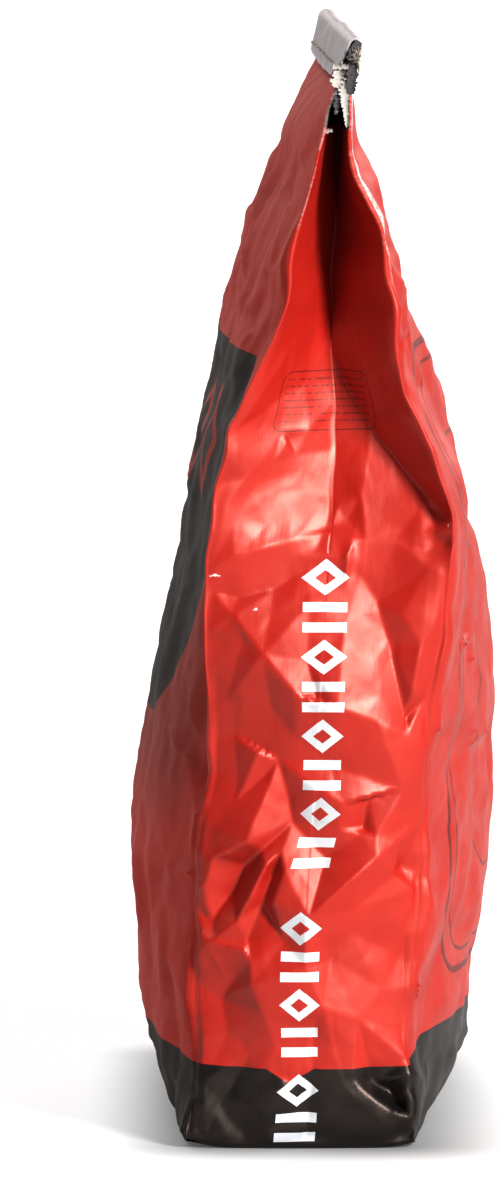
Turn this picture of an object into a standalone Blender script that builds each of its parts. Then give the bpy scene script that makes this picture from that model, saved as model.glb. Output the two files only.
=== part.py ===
"""A gusseted paper sack of big charcoal lumps, standing on its flat base.

The sack's mouth is pressed flat, folded over once towards the front and sewn through. X runs along the
broad faces, Y through the sack from its front (-Y) to its back (+Y), and Z is up. Everything is in metres.
"""

import math
import random

import bmesh
import bpy
from mathutils import Matrix, Vector

# The paper tube, laid flat
FACE_WIDTH = 0.394
GUSSET_WIDTH = 0.152
PAPER = 0.0008
STACK_GAP = 0.0004

# Heights above the floor
SACK_HEIGHT = 0.700
NECK_HEIGHT = 0.655
FLAT_HEIGHT = 0.668

# The folded mouth
FLAP_LENGTH = 0.026
FOLD_RADIUS = 0.0029
STACK_TILT = math.radians(14)
SEAM_BELOW_FOLD = 0.018

# How the filled sack swells, leans and twists, each as (height, value) from the floor up
FACE_HALF_THICKNESS = (
    (0, 0.078),
    (0.019, 0.091),
    (0.058, 0.1035),
    (0.117, 0.109),
    (0.195, 0.1165),
    (0.256, 0.1130),
    (0.351, 0.0975),
    (0.425, 0.0840),
    (0.482, 0.0685),
    (0.533, 0.0530),
    (0.593, 0.0365),
    (0.637, 0.0225),
    (NECK_HEIGHT, 0.0125),
)
CORNER_HALF_GAP = (
    (0, 0.074),
    (0.03, 0.076),
    (0.385, 0.076),
    (0.424, 0.070),
    (0.450, 0.061),
    (0.481, 0.049),
    (0.531, 0.034),
    (0.595, 0.0195),
    (0.637, 0.0080),
    (NECK_HEIGHT, 0.0050),
)
GUSSET_CENTRE_OUT = (
    (0, 0.003),
    (0.058, 0.009),
    (0.195, 0.013),
    (0.300, 0.010),
    (0.372, 0.001),
    (0.400, -0.014),
    (0.450, -0.045),
    (0.481, -0.058),
    (0.531, -0.068),
    (0.595, -0.0735),
    (NECK_HEIGHT, -0.076),
)
LEAN_BACK = (
    (0, 0),
    (0.1, 0.001),
    (0.2, 0.005),
    (0.256, 0.0100),
    (0.351, 0.0155),
    (0.43, 0.0143),
    (0.53, 0.0090),
    (0.6, 0.0100),
    (NECK_HEIGHT, 0.0170),
)
TWIST_DEGREES = ((0, 0), (0.2, 0.1), (0.4, 0.8), (0.5, 1.6), (0.56, 2.8), (NECK_HEIGHT, 2.3))

# Facets
FACE_STEPS = 8
GUSSET_STEPS = 4
FOLD_STEPS = 6
ROW_RUNS = ((0, 0.02, 2), (0.02, 0.11, 3), (0.11, 0.33, 5), (0.33, 0.45, 6), (0.45, 0.55, 4), (0.55, NECK_HEIGHT, 5))

# The seam
STITCH = 0.0125
THREAD = 0.0011
THREAD_CLEARANCE = 0.0004
NEEDLE_HOLE = 0.0019

# The lumps, as layers of (how many along, how many through) from the base up
LUMP_LAYERS = ((4, 2), (4, 2), (4, 2), (4, 2), (4, 2), (3, 2))
LAYER_HEIGHT = 0.083
LUMP_REACH = 0.062
LUMP_GAP = 0.0004
WALL_CLEARANCE = 0.0065
SEED_JITTER = 0.015
CHIPS = 7
CHIP_DEPTH = 0.13
SEED = 41

# The flattened mouth's layers, measured from the middle of the stack
STACK_HALF = 2 * PAPER + 1.5 * STACK_GAP
CREASE_HALF = STACK_GAP / 2
EDGE_CAP = STACK_HALF - CREASE_HALF


def smooth_between(points, at):
    """A smooth curve's value through (place, value) points, held at its ends."""
    if at <= points[0][0]:
        return points[0][1]
    if at >= points[-1][0]:
        return points[-1][1]
    i = max(k for k in range(len(points) - 1) if points[k][0] <= at)
    (x0, v0), (x1, v1) = points[i], points[i + 1]

    def slope(k):
        low, high = points[max(k - 1, 0)], points[min(k + 1, len(points) - 1)]
        return (high[1] - low[1]) / (high[0] - low[0])

    h = x1 - x0
    t = (at - x0) / h
    m0, m1 = slope(i) * h, slope(i + 1) * h
    return v0 * (1 + 2 * t) * (1 - t) ** 2 + m0 * t * (1 - t) ** 2 + v1 * t * t * (3 - 2 * t) - m1 * t * t * (1 - t)


def section_shape(height):
    """The sack's measures at a height: (half length, half thickness at mid face, corner half gap, gusset centre)."""
    corner = smooth_between((*CORNER_HALF_GAP, (FLAT_HEIGHT, STACK_HALF)), height)
    thickness = smooth_between((*FACE_HALF_THICKNESS, (FLAT_HEIGHT, STACK_HALF)), height)
    bulge = thickness - corner
    half_length = FACE_WIDTH / 2 - 4 / 3 * bulge**2 / FACE_WIDTH
    return half_length, thickness, corner, smooth_between(GUSSET_CENTRE_OUT, height)


def half_section(height):
    """One closed half of the outline, from the front face's middle round the +X gusset to the back face's middle."""
    half_length, thickness, corner, out = section_shape(height)
    points = []
    for i in range(FACE_STEPS // 2, FACE_STEPS + 1):
        x = half_length * (2 * i / FACE_STEPS - 1)
        points.append((x, -(corner + (thickness - corner) * (1 - (x / half_length) ** 2))))
    mouth = corner - EDGE_CAP
    inward = min(1, max(0, -out / 0.03))
    for i in range(GUSSET_STEPS, -1, -1):
        t = i / GUSSET_STEPS
        swell = (1 - inward) * (1 - t * t) + inward * (1 - t)
        points.append((half_length + out * swell, -(CREASE_HALF + (mouth - CREASE_HALF) * t)))
    return points


def section(height):
    """The sack's outline in its own plane, counter-clockwise from the front face's middle."""
    front_right = half_section(height)
    right = front_right + [(x, -y) for x, y in reversed(front_right)]
    left = [(-x, y) for x, y in reversed(right[1:-1])]
    return right + left


def spine():
    """Where each row of the sack lies: (height of its shape, y, z, tilt), from the floor to the mouth's cut edge."""
    rows = []
    for low, high, count in ROW_RUNS:
        for i in range(count):
            height = low + (high - low) * i / count
            rows.append((height, smooth_between(LEAN_BACK, height), height, 0.0))
    y, z = smooth_between(LEAN_BACK, NECK_HEIGHT), NECK_HEIGHT
    rows.append((NECK_HEIGHT, y, z, STACK_TILT / 2))
    top = FOLD_RADIUS + STACK_HALF
    centre_z = SACK_HEIGHT - top
    rise = (centre_z - FOLD_RADIUS * math.sin(STACK_TILT) - z) / math.cos(STACK_TILT)
    flat = (FLAT_HEIGHT - NECK_HEIGHT) / math.cos(STACK_TILT)
    for share in (0.5, 1):
        height = NECK_HEIGHT + share * (FLAT_HEIGHT - NECK_HEIGHT)
        rows.append((
            height,
            y + share * flat * math.sin(STACK_TILT),
            z + share * flat * math.cos(STACK_TILT),
            STACK_TILT,
        ))
    centre_y = y + rise * math.sin(STACK_TILT) - FOLD_RADIUS * math.cos(STACK_TILT)
    for i in range(FOLD_STEPS + 1):
        tilt = STACK_TILT - math.pi * i / FOLD_STEPS
        rows.append((
            FLAT_HEIGHT,
            centre_y + FOLD_RADIUS * math.cos(tilt),
            centre_z - FOLD_RADIUS * math.sin(tilt),
            tilt,
        ))
    _, y, z, tilt = rows[-1]
    for share in (0.5, 1):
        rows.append((
            FLAT_HEIGHT,
            y + share * FLAP_LENGTH * math.sin(tilt),
            z + share * FLAP_LENGTH * math.cos(tilt),
            tilt,
        ))
    return rows


def row_matrix(row):
    """Takes a point of a row's own plane to the sack's frame, with the sack's twist about Z."""
    height, y, z, tilt = row
    twist = math.radians(smooth_between(TWIST_DEGREES, height))
    return Matrix.Rotation(twist, 4, "Z") @ Matrix.Translation((0, y, z)) @ Matrix.Rotation(-tilt, 4, "X")


def material(name, colour, roughness):
    made = bpy.data.materials.new(name)
    made.use_nodes = True
    shader = made.node_tree.nodes["Principled BSDF"]
    shader.inputs["Base Color"].default_value = (*colour, 1)
    shader.inputs["Roughness"].default_value = roughness
    shader.inputs["Metallic"].default_value = 0
    return made


def object_of(name, mesh, collection, finish=None):
    made = bpy.data.objects.new(name, mesh)
    collection.objects.link(made)
    if finish:
        mesh.materials.append(finish)
    return made


def mesh_of(name, bm):
    mesh = bpy.data.meshes.new(name)
    bm.to_mesh(mesh)
    bm.free()
    return mesh


def paper_sack(collection, finish):
    """One sheet of paper lofted from the base, up the swelling body and over the folded mouth."""
    bm = bmesh.new()
    loops = []
    for row in spine():
        place = row_matrix(row)
        loops.append([bm.verts.new(place @ Vector((x, y, 0))) for x, y in section(row[0])])
    count = len(loops[0])
    for low, high in zip(loops, loops[1:]):
        for i in range(count):
            j = (i + 1) % count
            bm.faces.new((low[i], low[j], high[j], high[i]))
    bm.faces.new(list(reversed(loops[0])))
    sack = object_of("paper_sack", mesh_of("paper_sack", bm), collection, finish)
    sack.data.set_sharp_from_angle(angle=math.radians(35))
    wall = sack.modifiers.new("wall", "SOLIDIFY")
    wall.thickness = PAPER
    wall.offset = -1
    wall.use_even_offset = True
    return sack


def seam_frame():
    """The plane of the stitches: X along the seam, Y out of the back of the stack, Z along the stack."""
    rows = spine()
    fold_start = len(rows) - FOLD_STEPS - 3
    return row_matrix(rows[fold_start]) @ Matrix.Translation((0, 0, -SEAM_BELOW_FOLD))


def stitch_places():
    count = int((FACE_WIDTH - STITCH) / STITCH)
    return [STITCH * (i - (count - 1) / 2) for i in range(count)]


def box_mesh(bm, size, place):
    bmesh.ops.create_cube(bm, size=1, matrix=place @ Matrix.Diagonal((*size, 1)))


def through_box(bm, side, reach, x, frame):
    """A square bar along Y through both stacks of the folded mouth."""
    middle = -FOLD_RADIUS
    box_mesh(bm, (side, reach, side), frame @ Matrix.Translation((x, middle, 0)))


def sew_holes(sack, cutters):
    bm = bmesh.new()
    reach = 2 * (FOLD_RADIUS + STACK_HALF) + 0.004
    for x in stitch_places():
        through_box(bm, NEEDLE_HOLE, reach, x, seam_frame())
    holes = object_of("needle_holes", mesh_of("needle_holes", bm), cutters)
    holes.hide_render = True
    holes.display_type = "WIRE"
    cut = sack.modifiers.new("needle_holes", "BOOLEAN")
    cut.operation = "DIFFERENCE"
    cut.object = holes
    return holes


def thread_run(name, points):
    """A round thread through the points, as a closed mesh."""
    curve = bpy.data.curves.new(name, "CURVE")
    curve.dimensions = "3D"
    curve.bevel_depth = THREAD / 2
    curve.bevel_resolution = 0
    curve.use_fill_caps = True
    spline = curve.splines.new("POLY")
    spline.points.add(len(points) - 1)
    for target, point in zip(spline.points, points):
        target.co = (*point, 1)
    guide = bpy.data.objects.new(name, curve)
    bpy.context.scene.collection.objects.link(guide)
    graph = bpy.context.evaluated_depsgraph_get()
    mesh = bpy.data.meshes.new_from_object(guide.evaluated_get(graph))
    bpy.data.objects.remove(guide)
    bm = bmesh.new()
    bm.from_mesh(mesh)
    bmesh.ops.remove_doubles(bm, verts=bm.verts, dist=0.00001)
    bm.to_mesh(mesh)
    bm.free()
    return mesh


def run_points(side):
    """Points along one face of the seam, tight at each needle hole and a little slack between them."""
    frame = seam_frame()
    outer = side * (FOLD_RADIUS + STACK_HALF + THREAD / 2 + THREAD_CLEARANCE) - FOLD_RADIUS
    holes = stitch_places()
    points = []
    for x in holes:
        points.append((x, outer, 0))
        if x != holes[-1]:
            points.append((x + STITCH / 2, outer + side * 0.0003, 0))
    return [frame @ Vector(p) for p in points]


def tail_points(end, heights):
    """A loose end of the thread, which leaves the seam's last stitch and curls beside the sack's edge."""
    frame = seam_frame()
    outer = FOLD_RADIUS + STACK_HALF + THREAD / 2 + THREAD_CLEARANCE - FOLD_RADIUS
    edge = FACE_WIDTH / 2 + 0.0015
    points = [(end * stitch_places()[-1], outer, 0), (end * edge, outer + 0.0005, 0)]
    for i, height in enumerate(heights):
        points.append((end * (edge + 0.0035 + 0.0008 * i), outer + 0.001 * i, height))
    return [frame @ Vector(p) for p in points]


def closing_thread(collection, cutters, finish):
    """The thread on both faces of the seam, its passes through the paper and its two loose ends, as one body."""
    bm = bmesh.new()
    reach = 2 * (FOLD_RADIUS + STACK_HALF + THREAD_CLEARANCE) + THREAD
    for x in stitch_places():
        through_box(bm, THREAD, reach, x, seam_frame())
    passes = object_of("thread_passes", mesh_of("thread_passes", bm), cutters)
    runs = [
        thread_run("front_run", run_points(-1)),
        thread_run("back_run", run_points(1)),
        thread_run("right_tail", tail_points(1, (0.003, 0.008, 0.013))),
        thread_run("left_tail", tail_points(-1, (-0.003, -0.011, -0.020))),
    ]
    thread = object_of("closing_thread", runs[0], collection, finish)
    helpers = [passes] + [object_of(mesh.name, mesh, cutters) for mesh in runs[1:]]
    for helper in helpers:
        helper.hide_render = True
        helper.display_type = "WIRE"
        join = thread.modifiers.new(helper.name, "BOOLEAN")
        join.operation = "UNION"
        join.object = helper
    return thread


def inside_planes(seed):
    """Planes that keep a lump inside the sack: (point, outward normal) at the walls round the seed's height."""
    planes = [(Vector((0, 0, PAPER + LUMP_GAP)), Vector((0, 0, -1)))]
    step = 0.02
    for height in (seed.z - 0.045, seed.z, seed.z + 0.045):
        height = max(height, 0.012)
        for across in (-1, 1):
            for along in (seed.x - 0.045, seed.x + 0.045):
                point = wall_point(along, height, across)
                beside = wall_point(along + 0.01, height, across)
                above = wall_point(along, height + step, across)
                normal = (beside - point).cross(above - point).normalized()
                normal = normal if normal.y * across > 0 else -normal
                planes.append((point - normal * WALL_CLEARANCE, normal))
        for end in (-1, 1):
            point = gusset_point(height, end)
            slope = (gusset_point(height + step, end) - point).normalized()
            normal = Vector((slope.z * end, 0, -slope.x * end))
            planes.append((point - normal * WALL_CLEARANCE, normal))
    return planes


def wall_point(x, z, across):
    """A point of the broad face, on the front for across -1 and on the back for 1."""
    half_length, thickness, corner, _ = section_shape(z)
    y = corner + (thickness - corner) * (1 - min(1, (x / half_length) ** 2))
    return sack_place(z) @ Vector((x, across * y, 0))


def gusset_point(z, end):
    """The innermost reach of a gusset at a height."""
    half_length, _, _, out = section_shape(z)
    return sack_place(z) @ Vector((end * (half_length + min(0, out)), 0, 0))


def sack_place(z):
    return row_matrix((z, smooth_between(LEAN_BACK, z), z, 0.0))


def lump_seeds():
    """One point for each lump, in layers that fill the sack to a low heap, each moved a little at random."""
    draw = random.Random(SEED)
    seeds = []
    for layer, (along, through) in enumerate(LUMP_LAYERS):
        height = LAYER_HEIGHT * (layer + 0.5)
        half_length, thickness, corner, out = section_shape(height)
        half_length += min(0, out)
        across = (thickness + corner) / 2
        for i in range(along):
            for j in range(through):
                place = Vector((half_length * ((2 * i + 1) / along - 1), across * ((2 * j + 1) / through - 1), 0))
                shift = Vector(draw.uniform(-SEED_JITTER, SEED_JITTER) for _ in range(3))
                seeds.append(sack_place(height) @ place + shift)
    return seeds


def cut_by_plane(bm, point, normal):
    """Keeps what lies behind the plane and closes the cut."""
    cut = bmesh.ops.bisect_plane(
        bm,
        geom=[*bm.verts, *bm.edges, *bm.faces],
        dist=1e-6,
        plane_co=point,
        plane_no=normal,
        clear_outer=True,
    )
    edges = [e for e in cut["geom_cut"] if isinstance(e, bmesh.types.BMEdge)]
    if edges:
        bmesh.ops.contextual_create(bm, geom=edges)


def charcoal_lump(name, seed, others, draw, collection, finish):
    """A lump fills the space nearest its seed, a hair's breadth from its neighbours, with its corners chipped."""
    bm = bmesh.new()
    bmesh.ops.create_cube(bm, size=2 * LUMP_REACH, matrix=Matrix.Translation(seed))
    for point, normal in inside_planes(seed):
        cut_by_plane(bm, point, normal)
    for other in others:
        away = other - seed
        if 0 < away.length < 4 * LUMP_REACH:
            away_from = away.normalized()
            cut_by_plane(bm, seed + away / 2 - away_from * LUMP_GAP / 2, away_from)
    for _ in range(CHIPS):
        normal = Vector(draw.gauss(0, 1) for _ in range(3)).normalized()
        reach = max((v.co - seed).dot(normal) for v in bm.verts)
        cut_by_plane(bm, seed + normal * reach * (1 - CHIP_DEPTH), normal)
    bmesh.ops.dissolve_degenerate(bm, edges=bm.edges, dist=0.0004)
    bmesh.ops.recalc_face_normals(bm, faces=bm.faces)
    return object_of(name, mesh_of(name, bm), collection, finish)


def main():
    for old in list(bpy.data.objects):
        bpy.data.objects.remove(old)
    parts = bpy.data.collections.new("charcoal_sack")
    cutters = bpy.data.collections.new("cutters")
    for group in (parts, cutters):
        bpy.context.scene.collection.children.link(group)

    red_paper = material("red_printed_paper", (0.60, 0.045, 0.035), 0.45)
    cotton = material("cotton_thread", (0.80, 0.72, 0.58), 0.9)
    charcoal = material("charcoal", (0.03, 0.03, 0.032), 0.8)

    sack = paper_sack(parts, red_paper)
    sew_holes(sack, cutters)
    closing_thread(parts, cutters, cotton)
    seeds = lump_seeds()
    draw = random.Random(SEED + 1)
    for i, seed in enumerate(seeds, 1):
        charcoal_lump(f"charcoal_lump_{i:02d}", seed, seeds, draw, parts, charcoal)


main()
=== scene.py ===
import math
import random
from functools import partial

import bpy
import numpy as np
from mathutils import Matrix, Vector
from mathutils.bvhtree import BVHTree
from mathutils.geometry import delaunay_2d_cdt


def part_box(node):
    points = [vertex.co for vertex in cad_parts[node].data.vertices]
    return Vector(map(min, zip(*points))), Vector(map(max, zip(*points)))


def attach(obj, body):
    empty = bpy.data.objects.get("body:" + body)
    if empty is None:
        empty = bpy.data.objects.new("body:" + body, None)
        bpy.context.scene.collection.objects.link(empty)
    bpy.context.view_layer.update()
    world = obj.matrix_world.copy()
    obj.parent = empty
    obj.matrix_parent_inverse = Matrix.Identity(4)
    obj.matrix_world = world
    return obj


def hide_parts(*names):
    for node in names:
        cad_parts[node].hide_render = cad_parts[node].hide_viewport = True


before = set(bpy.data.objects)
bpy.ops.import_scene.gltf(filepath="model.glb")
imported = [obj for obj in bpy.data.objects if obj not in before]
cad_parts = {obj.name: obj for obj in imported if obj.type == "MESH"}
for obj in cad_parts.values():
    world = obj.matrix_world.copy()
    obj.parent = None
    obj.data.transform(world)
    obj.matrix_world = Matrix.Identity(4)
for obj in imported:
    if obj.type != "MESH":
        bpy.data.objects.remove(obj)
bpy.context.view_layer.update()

mm = 0.001
print("stage: frame loaded")


def toLinear(hexColour):
    parts = [int(hexColour[i:i + 2], 16) / 255 for i in (1, 3, 5)]
    return tuple(c / 12.92 if c <= 0.04045 else ((c + 0.055) / 1.055) ** 2.4 for c in parts) + (1.0,)


# Adds one node, such as "TexNoise" or "Math.ADD", and gives its output socket. The inputs are numbers or sockets in the
# node's own order, or one dictionary of them by socket.
def addNode(tree, kind, *inputs, out=0, **settings):
    kind, _, operation = kind.partition(".")
    node = tree.nodes.new("ShaderNode" + kind)
    if operation:
        settings["operation"] = operation
    for name, value in settings.items():
        setattr(node, name, value)
    sockets = inputs[0] if inputs and isinstance(inputs[0], dict) else dict(enumerate(inputs))
    for name, value in sockets.items():
        if isinstance(value, bpy.types.NodeSocket):
            tree.links.new(value, node.inputs[name])
        else:
            node.inputs[name].default_value = value
    return node.outputs[out]


def newMaterial(name, **values):  # gives the material, its shader, and addNode for its own tree
    material = bpy.data.materials.new(name)
    material.use_nodes = True
    shader = material.node_tree.nodes["Principled BSDF"]
    for socket, value in values.items():
        shader.inputs[socket.replace("_", " ")].default_value = value
    return material, shader, partial(addNode, material.node_tree)


def linkTo(shader, **sockets):
    for name, socket in sockets.items():
        shader.id_data.links.new(socket, shader.inputs[name.replace("_", " ")])


def newPiece(name, vertices, faces, material, smooth=True):
    mesh = bpy.data.meshes.new(name)
    mesh.from_pydata([tuple(v) for v in vertices], [], faces)
    mesh.materials.append(material)
    mesh.shade_smooth() if smooth else mesh.shade_flat()
    piece = bpy.data.objects.new(name, mesh)
    bpy.context.scene.collection.objects.link(piece)
    return piece


# The sack's form, in mm. Pairs are (height above the floor, value).
sackShape = {
    "faceWidth": 394,
    "gussetHalf": 76,
    "neck": 655,
    "flat": 668,
    "height": 700,
    "flap": 26,
    "foldRadius": 2.9,
    "stackTilt": 14,
    "stackHalf": 2.2,
    "creaseHalf": 0.2,
    "cornerCap": 2.0,
    "tuckTop": 497,         # the near tuck's right half keeps a floor up to a fold that slants down from this height
    "tuckSlant": 103,
    "slantLimit": 0.86,
    "tuckBlend": 30,        # mm of depth over which a gusset turns from a bulge to a tuck
    "valleyPinch": 0.15,
    "flapNearEnd": 0.52,    # the flap's end by the near gusset is this share of its full length
    "flapFarEnd": 0.86,
    "faceSwell": (
        (0, 78), (19, 91), (58, 103.5), (117, 109), (195, 116.5), (256, 113), (351, 97.5), (425, 84),
        (482, 68.5), (533, 53), (593, 36.5), (637, 22.5), (655, 12.5), (668, 2.2),
    ),
    "cornerGap": (
        (0, 74), (30, 76), (385, 76), (424, 70), (450, 61), (481, 49), (531, 34), (595, 19.5), (637, 8),
        (655, 5), (668, 2.2),
    ),
    "gussetOut": (
        (0, 3), (58, 9), (195, 13), (300, 10), (372, 1), (400, -14), (450, -45), (481, -58), (531, -68),
        (595, -73.5), (655, -76),
    ),
    # the near gusset's own tuck, as the photo's shadows show it
    "nearTuck": (
        (0, 3), (58, 9), (195, 13), (300, 9), (345, 2), (372, -7), (400, -18), (430, -28), (450, -34), (481, -41),
        (497, -45), (531, -58), (560, -66), (595, -72.5), (655, -76),
    ),
    # how far the front face's middle is drawn in
    "frontPull": (
        (0, 3), (6, 6), (20, 6), (34, 4), (58, 0), (110, 0), (136, 2), (165, 2), (188, 6), (214, 6), (240, 3),
        (266, 0), (292, 1), (318, 3), (420, 3), (474, 4), (500, 1), (526, 2), (552, 1), (578, 3), (610, 4),
        (630, 0), (668, 0),
    ),
    "backPull": (
        (0, -1), (12, 0), (32, -1.1), (58, 2.5), (84, 0.5), (110, 1.2), (136, -0.4), (162, -1.5), (190, 0.6),
        (214, 3.2), (240, 7.4), (266, 4.5), (292, 3.2), (318, 3.9), (344, 2.6), (370, 2.2), (396, 4), (422, -0.6),
        (448, 0.9), (474, 0.2), (500, -0.6), (526, 2.9), (552, 1), (578, 5.8), (604, 4), (630, 7.5), (656, 0), (668, 0),
    ),
    "lean": ((0, 0), (100, 1), (200, 5), (256, 10), (351, 15.5), (430, 14.3), (530, 9), (600, 10), (655, 17)),
    "twist": ((0, 0), (200, 0.1), (400, 0.8), (500, 1.6), (560, 2.8), (655, 2.3)),
    # the near gusset's two corners wander sideways from the sack's own middle, as the folds pull them
    "frontCornerShift": (
        (0, -2), (15, 0), (35, 4), (58, 8), (100, 7), (150, 5), (200, 6), (234, 6), (274, 2), (317, -3), (358, -5),
        (378, -4.6), (399, -2.2), (415, -2.4), (435, -2), (454, -6), (465, -4), (481, -3), (506, 0.5), (534, 5),
        (560, 0), (579, -1), (612, -1.5), (640, -5.5), (655, -7), (667, -7), (678, -5), (686, -1), (700, 0),
    ),
    "backCornerShift": (
        (0, -5), (20, -5), (58, -9), (100, -9), (150, -8), (200, -8), (261, -9), (283, -8), (320, -5), (365, -2),
        (394, 0.8), (410, 0.7), (428, -1.8), (481, -2.2), (497, -1.2), (534, 6.5), (553, 4.5), (579, 6), (599, 1.5),
        (616, -3), (641, -2), (660, -1), (700, 0),
    ),
    "nearBulge": ((0, 0), (58, 6), (120, 8), (260, 7), (330, 2), (372, 0)),
    "valleyShift": (
        (0, 0), (374, 0), (410, 1.3), (450, 6.5), (480, 6), (530, -1), (575, 3), (612, 4.6), (655, 3), (668, 0),
    ),
}

# How finely the sheet is meshed, in mm, as (place, step) pairs
sheetMesh = {
    "face": ((0, 7.6), (310, 7.2), (394, 2.6)),
    "nearGussetHalf": ((0, 1.45), (76, 1.45)),
    "farGussetHalf": ((0, 4.6), (76, 4.6)),
    "rows": ((0, 1.95), (520, 2.05), (655, 2.4)),
    "bendSteps": 10,
    "stackStep": 2.6,
}


def smoothBetween(points, at):
    xs, vs = np.array(points, float).T
    slopes = np.empty(len(xs))
    slopes[1:-1] = (vs[2:] - vs[:-2]) / (xs[2:] - xs[:-2])
    slopes[0] = (vs[1] - vs[0]) / (xs[1] - xs[0])
    slopes[-1] = (vs[-1] - vs[-2]) / (xs[-1] - xs[-2])
    at = np.clip(at, xs[0], xs[-1])
    i = np.clip(np.searchsorted(xs, at, side="right") - 1, 0, len(xs) - 2)
    h = xs[i + 1] - xs[i]
    t = (at - xs[i]) / h
    return (vs[i] * (1 + 2 * t) * (1 - t) ** 2 + slopes[i] * h * t * (1 - t) ** 2
            + vs[i + 1] * t * t * (3 - 2 * t) - slopes[i + 1] * h * t * t * (1 - t))


def smoothStep(low, high, at):
    t = np.clip((at - low) / (high - low), 0, 1)
    return t * t * (3 - 2 * t)


def gradedPlaces(length, steps):  # places from 0 to length whose spacing follows (place, step) pairs
    fine = np.linspace(0, length, 2001)
    xs, vs = np.array(steps, float).T
    count = np.concatenate(([0], np.cumsum(np.diff(fine) / np.interp(fine[1:], xs, vs))))
    return np.interp(np.linspace(0, count[-1], round(count[-1]) + 1), count, fine)


def sheetColumns():  # each column of the tube as (panel, place across that panel, place round the sheet)
    width, half = sackShape["faceWidth"], sackShape["gussetHalf"]
    face = gradedPlaces(width, sheetMesh["face"])
    columns = []

    def addGusset(start, steps):
        out = gradedPlaces(half, steps)
        columns.append(("corner", -half, start))
        columns.extend(("gusset", -half + g, start + g) for g in out)
        columns.append(("valley", 0, start + half))
        columns.extend(("gusset", half - g, start + 2 * half - g) for g in out[::-1])
        columns.append(("corner", half, start + 2 * half))

    columns.extend(("front", f - width / 2, f) for f in face)
    addGusset(width, sheetMesh["nearGussetHalf"])
    columns.extend(("back", width / 2 - f, width + 2 * half + f) for f in width - face[::-1])
    addGusset(2 * width + 2 * half, sheetMesh["farGussetHalf"])
    return columns


def sheetRows():  # each row as (height of its shape, y, z, tilt in radians, place along the sheet)
    shape = sackShape
    tiltTop = math.radians(shape["stackTilt"])
    rows = [
        (h, float(smoothBetween(shape["lean"], h)), h, tiltTop * 0.5 * float(smoothStep(600, 655, h)), h)
        for h in gradedPlaces(shape["neck"], sheetMesh["rows"])
    ]
    top = shape["foldRadius"] + shape["stackHalf"]
    centreZ = shape["height"] - top
    y, z, along = rows[-1][1], rows[-1][2], rows[-1][4]
    rise = (centreZ - shape["foldRadius"] * math.sin(tiltTop) - z) / math.cos(tiltTop)
    flat = (shape["flat"] - shape["neck"]) / math.cos(tiltTop)
    count = round(rise / sheetMesh["stackStep"])
    for i in range(1, count):
        s = rise * i / count
        h = shape["neck"] + min(1, s / flat) * (shape["flat"] - shape["neck"])
        rows.append((h, y + s * math.sin(tiltTop), z + s * math.cos(tiltTop),
                     tiltTop * (0.5 + 0.5 * float(smoothStep(0, flat, s))), along + s))
    centreY = y + rise * math.sin(tiltTop) - shape["foldRadius"] * math.cos(tiltTop)
    along += rise
    steps = sheetMesh["bendSteps"]
    for i in range(steps + 1):
        tilt = tiltTop - math.pi * i / steps
        rows.append((shape["flat"], centreY + shape["foldRadius"] * math.cos(tilt),
                     centreZ - shape["foldRadius"] * math.sin(tilt), tilt,
                     along + math.pi * shape["foldRadius"] * i / steps))
    _, y, z, tilt, along = rows[-1]
    count = round(shape["flap"] / sheetMesh["stackStep"])
    for i in range(1, count + 1):
        s = shape["flap"] * i / count
        rows.append((shape["flat"], y + s * math.sin(tilt), z + s * math.cos(tilt), tilt, along + s))
    return rows


def cornerDistances(columns):  # how far round the sheet each column is from each of the tube's four corners
    width, half = sackShape["faceWidth"], sackShape["gussetHalf"]
    places = np.array([c[2] for c in columns])
    apart = [np.abs(places - corner) for corner in (0, width, width + 2 * half, 2 * width + 2 * half)]
    return [np.minimum(a, 2 * width + 4 * half - a) for a in apart]


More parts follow.
